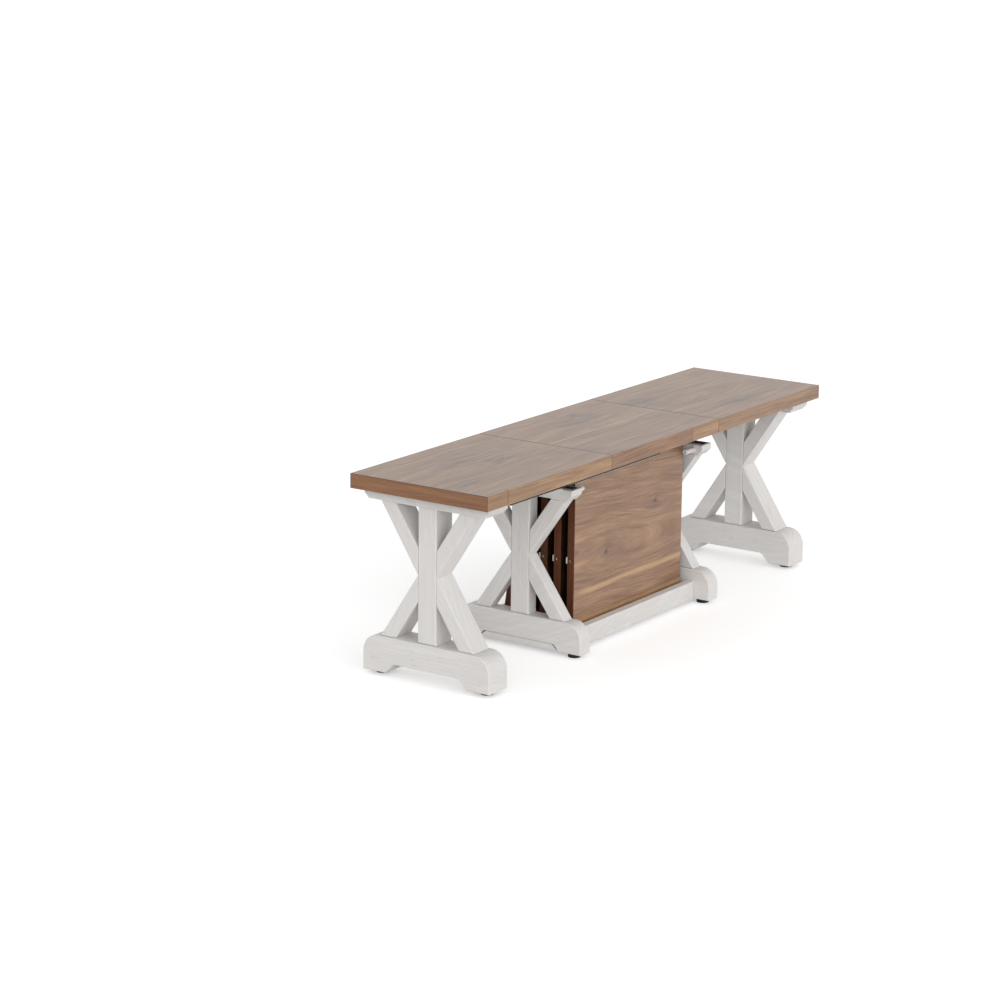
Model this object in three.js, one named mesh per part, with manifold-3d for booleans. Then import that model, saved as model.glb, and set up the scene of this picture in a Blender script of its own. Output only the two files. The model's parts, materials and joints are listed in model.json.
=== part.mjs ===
// Extending bench on X-braced trestles, with four spare seat leaves stored on edge in its centre unit.
// Millimetres. X runs along the bench, Y across it and Z up. The origin is on the floor below the
// middle of the seat. Front is -Y and left is -X.

import * as THREE from 'three';
import { mergeVertices } from 'three/addons/utils/BufferGeometryUtils.js';
import Module from 'manifold-3d';

const wasm = await Module();
wasm.setup();

// Clearances and cutting
const jointGap = 0.2;            // between two fixed pieces that meet
const runningGap = 0.5;          // between two pieces that slide on each other
const seamGap = 0.4;             // between two seat boards
const cutOverrun = 5;            // how far every cutter runs past the face that it cuts
const easedEdge = 2;             // chamfer on the edges of the painted timber
const smallEasedEdge = 0.8;      // chamfer on the edges of the seat boards and pegs
const arcSteps = 8;
const roundSides = 24;

// Seat
const seatDepth = 364;
const endPanelLength = 491.5;
const leafLength = 471;
const edgeHeight = 33.5;         // height of the edge that shows all round the seat
const boardThickness = 18;       // of the board inside its edge strips
const edgeStripThickness = 10;
const socketRadius = 3;          // blind holes in the board ends, for loose dowels
const socketDepth = 25;

// Glides and feet
const glideHeight = 10;
const glideRadius = 15;
const glideRound = 2;
const glidePinRadius = 2.5;
const glidePinLength = 18;
const glideInset = 29;           // from the end of a foot to the middle of its glide
const footLength = 340;
const footRound = 40;

// Posts and braces
const postWidth = 49;
const braceWidth = 33.5;
const railChamfer = 12;

// End trestles, which carry the end panels
const endFootThickness = 71;
const endLegThickness = 61;
const endFootHeight = 83;
const endArchTop = 33;
const endArchFlat = 80;          // half width of the level top of the arch
const endArchRun = 29.5;         // width of the curve at each end of the arch
const endTrestleInset = 66;      // from the end of the seat to the middle of the trestle
const endRailHeight = 40.3;
const endRailClearance = 5;      // from the end of the rail to the edge strip of the panel
const endBraceInset = 5;         // from where the foot starts to round to the edge of the brace

// Inner trestles, which hold the stored leaves between them
const innerFootThickness = 42;
const innerLegThickness = 34;
const innerFootHeight = 72;
const innerArchRun = 17;
const innerRailHeight = 26;
const innerRailBeyondPeg = 25;
const innerBraceInset = 7;
const centreUnitShift = -30.5;   // the centre unit stands this far off the middle of the seat

// Stored leaves. All but the last stand upright, and the last leans on the one before it.
const uprightLeaves = 3;
const storedGap = 3.3;
const leanOut = 54.6;            // how far out the foot of the leaning leaf stands
const storedEndClearance = 27;   // from the end of a leaf to the inner face of a foot
const storedShift = 11;          // the leaves stand this far off the middle of the centre unit
const storedHeadroom = 3.2;      // from the top of a stored leaf to the slides

// Storage tray
const trayTop = 25;
const trayBoardThickness = 13;
const trayClearance = 10.8;      // from the stored leaves to a stretcher
const tongueInset = 17.5;        // the top of a tongue is this much narrower than the board on each side
const tongueClearance = 1.5;
const tongueEndInset = 1;        // from the end of a tongue to the outer face of the foot
const stretcherThickness = 20;
const stretcherTop = 54.5;

// Pegs that keep the stored leaves from tipping out
const pegRadius = 6.3;
const pegClearance = 12;
const pegHold = 13;              // how far the pegs reach past the ends of the leaves
const pegTenon = 8;              // how far a peg is let into its rail
const pegDrop = 12.5;            // from the top of the rail down to the middle of the peg
const pegRecessRadius = 2.2;
const pegRecessDepth = 5;

// Wear strips on the inner rails
const stripThickness = 2;
const stripWidth = 16;
const stripEndInset = 6;         // from the ends of a rail

// Telescopic slides, counted from the outermost lane to the innermost
const slideHeight = 49.4;
const slideOuterFace = 114;      // from the middle to the outer face of the outermost member
const slideBody = 13;
const slideLaneGap = 1;
const slideWeb = 5;
const slideFlange = 5;
const slideLip = 3;
const slideLipReach = 8;
const innermostSlideBody = 8;
const endSlideLength = 623;
const endSlideInset = 190;       // from the end of the seat to the end of its own slide member
const linkSlideLength = 760;
const linkSlideLead = 1;         // the link stands out this far past the end slide
const centreSlideLength = 760;

const paint = { color: 0xe9e6e1, roughness: 0.62, metalness: 0 };
const walnut = { color: 0x8d6c52, roughness: 0.5, metalness: 0 };
const blackPlastic = { color: 0x161616, roughness: 0.55, metalness: 0 };
const darkFelt = { color: 0x242322, roughness: 0.95, metalness: 0 };
const greyAluminium = { color: 0x8c8f91, roughness: 0.4, metalness: 0.9 };

// Heights, stacked up from the tray: the stored leaves on edge, the slides above them and the seat
const storedFoot = trayTop + jointGap;
const slideBottom = storedFoot + seatDepth + storedHeadroom;
const stripTop = slideBottom - jointGap;
const innerRailTop = stripTop - stripThickness - jointGap;
const innerRailBottom = innerRailTop - innerRailHeight;
const boardUnderside = slideBottom + slideHeight + jointGap;
const seatHeight = boardUnderside + boardThickness;
const endRailTop = boardUnderside - jointGap;
const endRailBottom = endRailTop - endRailHeight;

// Places across the bench, measured out from its middle
const footHalf = footLength / 2;
const footFlatHalf = footHalf - footRound;
const postHalf = postWidth / 2;
const glideReach = footHalf - glideInset;
const storedPitch = edgeHeight + storedGap;
const uprightDepth = (uprightLeaves - 1) * storedPitch + edgeHeight;
const storedHalf = (uprightDepth + jointGap + leanOut + edgeHeight) / 2;
const trayHalf = storedHalf + trayClearance;
const tongueHalf = trayHalf - tongueInset;
const pegReach = storedHalf + pegClearance + pegRadius;
const innerRailHalf = pegReach + innerRailBeyondPeg;
const endBraceReach = footFlatHalf - endBraceInset;
const endRailHalf = seatDepth / 2 - edgeStripThickness - endRailClearance;

// Places along the bench
const seatLength = 2 * endPanelLength + leafLength + 2 * seamGap;
const endTrestleReach = seatLength / 2 - endTrestleInset;
const bayHalf = leafLength / 2 + storedEndClearance;
const innerTrestleReach = bayHalf + innerFootThickness / 2;
const pegLength = storedEndClearance + pegHold;

const bench = new THREE.Group();

function addPiece(group, name, geometry, finish) {
  const piece = new THREE.Mesh(geometry, new THREE.MeshStandardMaterial(finish));
  piece.name = name;
  group.add(piece);
  return piece;
}

function placedGroup(x, y, z) {
  const group = new THREE.Group();
  group.position.set(x, y, z);
  bench.add(group);
  return group;
}

// Joining and cutting of closed shapes

function toSolid(geometry) {
  const bare = geometry.clone();
  bare.deleteAttribute('normal');
  bare.deleteAttribute('uv');
  const merged = mergeVertices(bare);
  const vertProperties = new Float32Array(merged.attributes.position.array);
  const triVerts = new Uint32Array(merged.index.array);
  return new wasm.Manifold(new wasm.Mesh({ numProp: 3, vertProperties, triVerts }));
}

function toGeometry(solid) {
  const mesh = solid.getMesh();
  const geometry = new THREE.BufferGeometry();
  geometry.setAttribute('position', new THREE.BufferAttribute(mesh.vertProperties, 3));
  geometry.setIndex(new THREE.BufferAttribute(mesh.triVerts, 1));
  geometry.computeVertexNormals();
  return geometry;
}

function cutFrom(geometry, cutters) {
  const cut = cutters.reduce((solid, cutter) => solid.subtract(toSolid(cutter)), toSolid(geometry));
  return toGeometry(cut);
}

function joinTo(geometry, additions) {
  const joined = additions.reduce((solid, addition) => solid.add(toSolid(addition)), toSolid(geometry));
  return toGeometry(joined);
}

// Outlines are drawn across the bench (Y, Z) and run along X, or drawn in plan (X, Y) and run up Z

const acrossToAlong = new THREE.Matrix4().makeBasis(
  new THREE.Vector3(0, 1, 0),
  new THREE.Vector3(0, 0, 1),
  new THREE.Vector3(1, 0, 0),
);

function extruded(outline, length, ease) {
  const geometry = new THREE.ExtrudeGeometry(outline, {
    depth: length - 2 * ease,
    bevelEnabled: ease > 0,
    bevelThickness: ease,
    bevelSize: ease,
    bevelOffset: -ease,
    bevelSegments: 1,
    curveSegments: arcSteps,
  });
  return geometry.translate(0, 0, ease);
}

function runAlong(outline, length, ease) {
  return extruded(outline, length, ease).translate(0, 0, -length / 2).applyMatrix4(acrossToAlong);
}

function outlineOf(points) {
  return new THREE.Shape(points.map(([first, second]) => new THREE.Vector2(first, second)));
}

function rectangle(halfWidth, low, high) {
  return outlineOf([[-halfWidth, low], [halfWidth, low], [halfWidth, high], [-halfWidth, high]]);
}

function barUp(radius, low, high) {
  const bar = new THREE.CylinderGeometry(radius, radius, high - low, roundSides);
  return bar.rotateX(Math.PI / 2).translate(0, 0, (low + high) / 2);
}

function barAlong(radius, from, to) {
  const bar = new THREE.CylinderGeometry(radius, radius, to - from, roundSides);
  return bar.rotateZ(Math.PI / 2).translate((from + to) / 2, 0, 0);
}

function block(low, high) {
  const size = high.map((value, axis) => value - low[axis]);
  const middle = high.map((value, axis) => (value + low[axis]) / 2);
  return new THREE.BoxGeometry(...size).translate(...middle);
}

// Feet stand on two pads, with an arch between them whose ends curve both ways

const ogeeShares = { low: [0.38, 0.42], high: [0.55, 1] };

function footOutline(spec) {
  const archEnd = spec.archFlat + spec.archRun;
  const archRise = spec.archTop - glideHeight;
  const lowX = archEnd - spec.archRun * ogeeShares.low[0];
  const lowZ = glideHeight + archRise * ogeeShares.low[1];
  const highX = archEnd - spec.archRun * ogeeShares.high[0];
  const highZ = glideHeight + archRise * ogeeShares.high[1];
  const roundZ = spec.footTop - footRound;
  const outline = new THREE.Shape();
  outline.moveTo(footHalf, glideHeight);
  outline.lineTo(footHalf, roundZ);
  outline.absarc(footFlatHalf, roundZ, footRound, 0, Math.PI / 2, false);
  outline.lineTo(-footFlatHalf, spec.footTop);
  outline.absarc(-footFlatHalf, roundZ, footRound, Math.PI / 2, Math.PI, false);
  outline.lineTo(-footHalf, glideHeight);
  outline.lineTo(-archEnd, glideHeight);
  outline.bezierCurveTo(-lowX, lowZ, -highX, highZ, -spec.archFlat, spec.archTop);
  outline.lineTo(spec.archFlat, spec.archTop);
  outline.bezierCurveTo(highX, highZ, lowX, lowZ, archEnd, glideHeight);
  return outline;
}

function footGeometry(spec) {
  const beam = runAlong(footOutline(spec), spec.footThickness, easedEdge);
  const pinTop = glideHeight + glidePinLength + jointGap;
  const pinHoles = [-1, 1].map((side) => {
    const hole = barUp(glidePinRadius + jointGap, glideHeight - cutOverrun, pinTop);
    return hole.translate(0, side * glideReach, 0);
  });
  return cutFrom(beam, pinHoles);
}

function glideGeometry() {
  const top = glideHeight - jointGap;
  const profile = [
    [0, 0],
    [glideRadius - glideRound, 0],
    [glideRadius, glideRound],
    [glideRadius, top - glideRound],
    [glideRadius - glideRound, top],
    [glidePinRadius, top],
    [glidePinRadius, glideHeight + glidePinLength],
    [0, glideHeight + glidePinLength],
  ].map(([radius, height]) => new THREE.Vector2(radius, height));
  return new THREE.LatheGeometry(profile, roundSides).rotateX(Math.PI / 2);
}

// A brace runs from the side of the post at mid height to the rail above or the foot below.
// Its two long edges are parallel, and braceWidth apart.
function braceOutline(side, middle, landing, reach) {
  const upward = Math.sign(landing - middle);
  const innerY = postHalf + jointGap;
  const startZ = middle + upward * jointGap;
  const endZ = landing - upward * jointGap;
  const slope = Math.atan2(Math.abs(endZ - startZ), reach - innerY);
  const alongPost = braceWidth / Math.cos(slope);
  const alongRail = braceWidth / Math.sin(slope);
  return outlineOf([
    [side * innerY, startZ],
    [side * reach, endZ],
    [side * (reach - alongRail), endZ],
    [side * innerY, startZ + upward * alongPost],
  ]);
}

function railOutline(half, bottom, top) {
  return outlineOf([
    [half - railChamfer, bottom],
    [half, bottom + railChamfer],
    [half, top],
    [-half, top],
    [-half, bottom + railChamfer],
    [-half + railChamfer, bottom],
  ]);
}

function addTrestle(name, x, spec) {
  const group = placedGroup(x, 0, 0);
  const rail = runAlong(
    railOutline(spec.railHalf, spec.railBottom, spec.railTop), spec.footThickness, easedEdge);
  const post = runAlong(
    rectangle(postHalf, spec.footTop + jointGap, spec.railBottom - jointGap), spec.legThickness, easedEdge);
  addPiece(group, `${name}_foot`, footGeometry(spec), paint);
  addPiece(group, `${name}_post`, post, paint);
  addPiece(group, `${name}_rail`, joinTo(rail, spec.railAdditions), paint);
  const middle = (spec.footTop + spec.railBottom) / 2;
  for (const [place, side] of [['front', -1], ['back', 1]]) {
    for (const [level, landing] of [['upper', spec.railBottom], ['lower', spec.footTop]]) {
      const outline = braceOutline(side, middle, landing, spec.braceReach);
      const brace = runAlong(outline, spec.legThickness, easedEdge);
      addPiece(group, `${name}_${level}_brace_${place}`, brace, paint);
    }
    const glide = addPiece(group, `${name}_glide_${place}`, glideGeometry(), blackPlastic);
    glide.position.set(0, side * glideReach, 0);
  }
}

// The pegs stand on the face of the rail that looks at the stored leaves.
function pegGeometry(facing, side) {
  const profile = [
    [0, -pegTenon],
    [pegRadius, -pegTenon],
    [pegRadius, pegLength - smallEasedEdge],
    [pegRadius - smallEasedEdge, pegLength],
    [pegRecessRadius, pegLength],
    [pegRecessRadius, pegLength - pegRecessDepth],
    [0, pegLength - pegRecessDepth],
  ].map(([radius, height]) => new THREE.Vector2(radius, height));
  const peg = new THREE.LatheGeometry(profile, roundSides).rotateZ(-facing * Math.PI / 2);
  return peg.translate(facing * innerFootThickness / 2, side * pegReach, innerRailTop - pegDrop);
}

const endTrestle = {
  footThickness: endFootThickness,
  legThickness: endLegThickness,
  footTop: glideHeight + endFootHeight,
  archTop: endArchTop,
  archFlat: endArchFlat,
  archRun: endArchRun,
  railBottom: endRailBottom,
  railTop: endRailTop,
  railHalf: endRailHalf,
  braceReach: endBraceReach,
  railAdditions: [],
};

function innerTrestle(facing) {
  return {
    footThickness: innerFootThickness,
    legThickness: innerLegThickness,
    footTop: glideHeight + innerFootHeight,
    archTop: trayTop + jointGap,
    archFlat: tongueHalf + tongueClearance,
    archRun: innerArchRun,
    railBottom: innerRailBottom,
    railTop: innerRailTop,
    railHalf: innerRailHalf,
    braceReach: footFlatHalf - innerBraceInset,
    railAdditions: [pegGeometry(facing, -1), pegGeometry(facing, 1)],
  };
}

addTrestle('left_end', -endTrestleReach, endTrestle);
addTrestle('right_end', endTrestleReach, endTrestle);
addTrestle('left_inner', centreUnitShift - innerTrestleReach, innerTrestle(1));
addTrestle('right_inner', centreUnitShift + innerTrestleReach, innerTrestle(-1));

// Storage tray between the inner feet: a board whose tongues fill the arches, and two stretchers

const trayBayHalf = bayHalf - jointGap;

function trayBoardGeometry() {
  const bottom = trayTop - trayBoardThickness;
  const boardHalf = trayHalf - jointGap;
  const tongueEnd = bayHalf + innerFootThickness - tongueEndInset;
  const archRise = trayTop + jointGap - glideHeight;
  const splay = innerArchRun * trayBoardThickness / archRise;
  const board = block([-trayBayHalf, -boardHalf, bottom], [trayBayHalf, boardHalf, trayTop]);
  const tongue = outlineOf([
    [-tongueHalf - splay, bottom],
    [tongueHalf + splay, bottom],
    [tongueHalf, trayTop],
    [-tongueHalf, trayTop],
  ]);
  return joinTo(board, [runAlong(tongue, 2 * tongueEnd, 0)]);
}

const tray = placedGroup(centreUnitShift, 0, 0);
addPiece(tray, 'tray_board', trayBoardGeometry(), paint);

for (const [place, side] of [['front', -1], ['back', 1]]) {
  const section = rectangle(stretcherThickness / 2, glideHeight, stretcherTop);
  const geometry = runAlong(section, 2 * trayBayHalf, easedEdge);
  const stretcher = addPiece(tray, `${place}_stretcher`, geometry, paint);
  stretcher.position.y = side * (trayHalf + stretcherThickness / 2);
}

// Seat boards, each drawn with its top face at Z = 0 and its middle at X = 0. Edge strips stand
// below the board along the front and back, and along the outer end of an end panel.

function boardGeometry(length, outerEnd) {
  const plan = rectangle(length / 2, -seatDepth / 2, seatDepth / 2);
  const board = extruded(plan, edgeHeight, smallEasedEdge).translate(0, 0, -edgeHeight);
  const reach = (end) => length / 2 + (end === outerEnd ? -edgeStripThickness : cutOverrun);
  const recessHalf = seatDepth / 2 - edgeStripThickness;
  const recess = block(
    [-reach(-1), -recessHalf, -edgeHeight - cutOverrun], [reach(1), recessHalf, -boardThickness]);
  const sockets = [-1, 1].filter((end) => end !== outerEnd).map((end) => {
    const socket = barAlong(socketRadius, length / 2 - socketDepth, length / 2 + cutOverrun);
    return socket.rotateZ(end < 0 ? Math.PI : 0).translate(0, 0, -boardThickness / 2);
  });
  return cutFrom(board, [recess, ...sockets]);
}

const endPanelReach = (leafLength + endPanelLength) / 2 + seamGap;
const leftPanel = addPiece(bench, 'left_seat_panel', boardGeometry(endPanelLength, -1), walnut);
const rightPanel = addPiece(bench, 'right_seat_panel', boardGeometry(endPanelLength, 1), walnut);
const fittedLeaf = addPiece(bench, 'fitted_leaf', boardGeometry(leafLength, 0), walnut);
leftPanel.position.set(-endPanelReach, 0, seatHeight);
rightPanel.position.set(endPanelReach, 0, seatHeight);
fittedLeaf.position.set(0, 0, seatHeight);

// Stored leaves. The upright ones stand on edge with their top faces to the front, and the last
// one stands the other way round and leans forward against the one before it.

const storedX = centreUnitShift + storedShift;

for (let place = 0; place < uprightLeaves; place += 1) {
  const holder = placedGroup(storedX, place * storedPitch - storedHalf, storedFoot + seatDepth / 2);
  const leaf = addPiece(holder, `stored_leaf_${place + 1}`, boardGeometry(leafLength, 0), walnut);
  leaf.rotation.x = Math.PI / 2;
}

const leanedOn = uprightDepth - storedHalf + jointGap;
const leaningHolder = placedGroup(storedX, leanedOn + leanOut, storedFoot);
leaningHolder.rotation.x = Math.asin(leanOut / seatDepth);
const leaningLeaf = addPiece(
  leaningHolder, `stored_leaf_${uprightLeaves + 1}`, boardGeometry(leafLength, 0), walnut);
leaningLeaf.rotation.x = -Math.PI / 2;
leaningLeaf.position.set(0, edgeHeight, seatDepth / 2);

// Telescopic slides. Each member has a channel that looks inward and a tongue that runs in the
// channel of the member outside it. The outermost has no tongue and the innermost no channel.

function slideOutline(place, side, hasTongue, hasChannel) {
  const body = hasChannel ? slideBody : innermostSlideBody;
  const mouth = slideFlange + slideLipReach;
  const neckDepth = slideLaneGap + slideLip + runningGap;
  const headDepth = slideLaneGap + slideBody - slideWeb - runningGap;
  const channel = [
    [body, mouth],
    [body - slideLip, mouth],
    [body - slideLip, slideFlange],
    [slideWeb, slideFlange],
    [slideWeb, slideHeight - slideFlange],
    [body - slideLip, slideHeight - slideFlange],
    [body - slideLip, slideHeight - mouth],
    [body, slideHeight - mouth],
  ];
  const tongue = [
    [0, slideHeight - mouth - runningGap],
    [-neckDepth, slideHeight - mouth - runningGap],
    [-neckDepth, slideHeight - slideFlange - runningGap],
    [-headDepth, slideHeight - slideFlange - runningGap],
    [-headDepth, slideFlange + runningGap],
    [-neckDepth, slideFlange + runningGap],
    [-neckDepth, mouth + runningGap],
    [0, mouth + runningGap],
  ];
  const points = [
    [0, 0],
    [body, 0],
    ...(hasChannel ? channel : []),
    [body, slideHeight],
    [0, slideHeight],
    ...(hasTongue ? tongue : []),
  ];
  const laneFace = slideOuterFace - place * (slideBody + slideLaneGap);
  return outlineOf(points.map(([inward, up]) => [side * (laneFace - inward), slideBottom + up]));
}

const endSlideReach = seatLength / 2 - endSlideInset - endSlideLength / 2;
const linkSlideReach = seatLength / 2 - endSlideInset + linkSlideLead - linkSlideLength / 2;
const slideMembers = [
  { name: 'left_slide', length: endSlideLength, middle: -endSlideReach },
  { name: 'left_link', length: linkSlideLength, middle: -linkSlideReach },
  { name: 'centre_slide', length: centreSlideLength, middle: 0 },
  { name: 'right_link', length: linkSlideLength, middle: linkSlideReach },
  { name: 'right_slide', length: endSlideLength, middle: endSlideReach },
];

slideMembers.forEach((member, place) => {
  const hasTongue = place > 0;
  const hasChannel = place < slideMembers.length - 1;
  for (const [position, side] of [['front', -1], ['back', 1]]) {
    const outline = slideOutline(place, side, hasTongue, hasChannel);
    const slide = addPiece(
      bench, `${member.name}_${position}`, runAlong(outline, member.length, 0), greyAluminium);
    slide.position.x = member.middle;
  }
});

// Wear strips on the inner rails, which the slides run on

for (const [place, side] of [['left', -1], ['right', 1]]) {
  const section = rectangle(innerRailHalf - stripEndInset, innerRailTop + jointGap, stripTop);
  const geometry = runAlong(section, stripWidth, 0);
  const strip = addPiece(bench, `${place}_wear_strip`, geometry, darkFelt);
  strip.position.x = centreUnitShift + side * innerTrestleReach;
}

export default bench;
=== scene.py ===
"""Finish of an extending bench: painted X-braced trestles, walnut seat boards, stored leaves and slides.

Metres, in the frame of the bench: X along the seat, Y across it and Z up. The front is -Y, the left is -X.
"""

import json
import math
import random

import bmesh
import bpy
from bpy.props import FloatProperty, FloatVectorProperty, PointerProperty
from mathutils import Matrix, Vector


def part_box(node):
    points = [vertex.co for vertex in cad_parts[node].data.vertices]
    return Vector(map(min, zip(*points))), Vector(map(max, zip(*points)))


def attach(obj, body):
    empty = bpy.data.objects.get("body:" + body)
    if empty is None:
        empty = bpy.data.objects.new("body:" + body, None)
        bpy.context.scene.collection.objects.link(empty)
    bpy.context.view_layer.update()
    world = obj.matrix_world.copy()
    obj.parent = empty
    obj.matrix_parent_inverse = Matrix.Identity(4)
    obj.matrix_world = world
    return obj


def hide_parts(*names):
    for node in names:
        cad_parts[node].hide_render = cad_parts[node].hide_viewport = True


bl_info = {
    "name": "Extending bench",
    "version": (1, 0, 0),
    "blender": (4, 5, 0),
    "location": "3D view > Sidebar > Bench",
    "description": "Finishes an extending bench with painted trestles and walnut seat leaves",
    "category": "Add Mesh",
}

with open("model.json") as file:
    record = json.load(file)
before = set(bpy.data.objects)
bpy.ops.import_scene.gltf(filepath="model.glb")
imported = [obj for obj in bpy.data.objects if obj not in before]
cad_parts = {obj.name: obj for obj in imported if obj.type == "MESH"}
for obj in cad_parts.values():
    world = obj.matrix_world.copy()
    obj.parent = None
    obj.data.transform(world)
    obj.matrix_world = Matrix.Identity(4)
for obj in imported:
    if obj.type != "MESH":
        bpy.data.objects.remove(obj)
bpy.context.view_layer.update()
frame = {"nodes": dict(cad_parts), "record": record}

MM = 0.001
X, Y, Z = range(3)
TRESTLES = ("left_end", "left_inner", "right_inner", "right_end")
SLIDES = ("left_slide", "left_link", "centre_slide", "right_link", "right_slide")
SIDES = {"front": -1, "back": 1}


def body_of(node):
    """The name of the body that a CAD node belongs to."""
    return next(body for body, nodes in frame["record"]["behaviour"]["bodies"].items() if node in nodes)


# Sizes and colours that a user would change

def colour_property(name, description, default):
    return FloatVectorProperty(name=name, description=description, default=default, subtype="COLOR",
                               size=3, min=0, max=1)


def length_property(name, description, least, most, default):
    return FloatProperty(name=name, description=description, default=default, subtype="DISTANCE",
                         unit="LENGTH", min=least, max=most)


def angle_property(name, description, most, degrees):
    return FloatProperty(name=name, description=description, default=math.radians(degrees),
                         subtype="ANGLE", unit="ROTATION", min=0, max=most)


def strength_property(name, description, most, default):
    return FloatProperty(name=name, description=description, default=default, min=0, max=most)


class BenchTimber(bpy.types.PropertyGroup):
    paint_colour: colour_property("Paint", "Colour of the painted trestles", (0.745, 0.730, 0.713))
    wash_colour: colour_property(
        "Wash", "Colour that lies in the brush marks of the paint", (0.57, 0.535, 0.51))
    bare_colour: colour_property(
        "Bare timber", "Colour that shows where the paint is rubbed thin", (0.52, 0.40, 0.31))
    walnut_light: colour_property("Light walnut", "Lightest tone of the heartwood", (0.450, 0.264, 0.148))
    walnut_dark: colour_property("Dark walnut", "Darkest tone of the heartwood", (0.195, 0.098, 0.053))
    sapwood: colour_property("Sapwood", "Colour of the pale streaks", (0.60, 0.385, 0.195))
    timber_edge: length_property("Timber edge", "Rounding of the painted edges", 0, 0.002, 0.8 * MM)
    board_edge: length_property("Board edge", "Rounding of the edges of a seat board", 0, 0.002, 0.9 * MM)
    band: length_property(
        "Edge band", "Thickness of the band along each outer edge of a board", 0.002, 0.02, 10 * MM)
    core: length_property("Board", "Thickness of a board between its bands", 0.01, 0.03, 18 * MM)


class BenchFittings(bpy.types.PropertyGroup):
    socket: length_property("Socket", "Radius of a dowel socket", 0.001, 0.01, 3 * MM)
    socket_depth: length_property("Socket depth", "Depth of a dowel socket", 0.005, 0.05, 25 * MM)
    slide_edge: length_property("Slide edge", "Rounding of the edges of a slide member", 0, 0.002, 0.7 * MM)
    # The strip along a slide's foot is a painted highlight for its lower edge catching light; the slides'
    # near-black colour is partly their dark coat and partly painted shade under the seat's skirt.
    slide_worn: length_property(
        "Worn strip", "Height of the bright strip along the foot of a slide", 0.0001, 0.01, 0.6 * MM)
    slide_colour: colour_property("Slide", "Colour of the dark coating on the slides", (0.014, 0.017, 0.018))
    metal_colour: colour_property("Bare metal", "Colour of plates, rims and worn slides", (0.86, 0.86, 0.84))
    plastic_colour: colour_property("Glide", "Colour of the glides under the feet", (0.007, 0.007, 0.0075))


class BenchStage(bpy.types.PropertyGroup):
    floor_size: length_property("Floor", "Length of each side of the floor", 5, 200, 60)
    sky: strength_property("Sky", "Strength of the even light from all round", 2, 0.70)
    front_lamp: strength_property("Front lamp", "Strength of the broad soft lamp in front", 10, 0.86)
    front_height: angle_property("Front lamp height", "How far the front lamp stands above level", 1.5, 14)
    corner_lamp: strength_property(
        "Corner lamp", "Strength of the broad soft lamp before the left front corner", 10, 0.68)
    corner_height: angle_property("Corner lamp height", "How far that lamp stands above level", 1.5, 19)
    lamp_breadth: angle_property("Lamp breadth", "How broad the lamps look from the bench", 3, 42)
    floor_lift: strength_property(
        "Floor lift", "Glow that the camera sees on the floor, which keeps it white", 1, 0.36)


def timber():
    return bpy.context.scene.bench_timber


def fittings():
    return bpy.context.scene.bench_fittings


def stage():
    return bpy.context.scene.bench_stage


# Shader graphs

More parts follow.
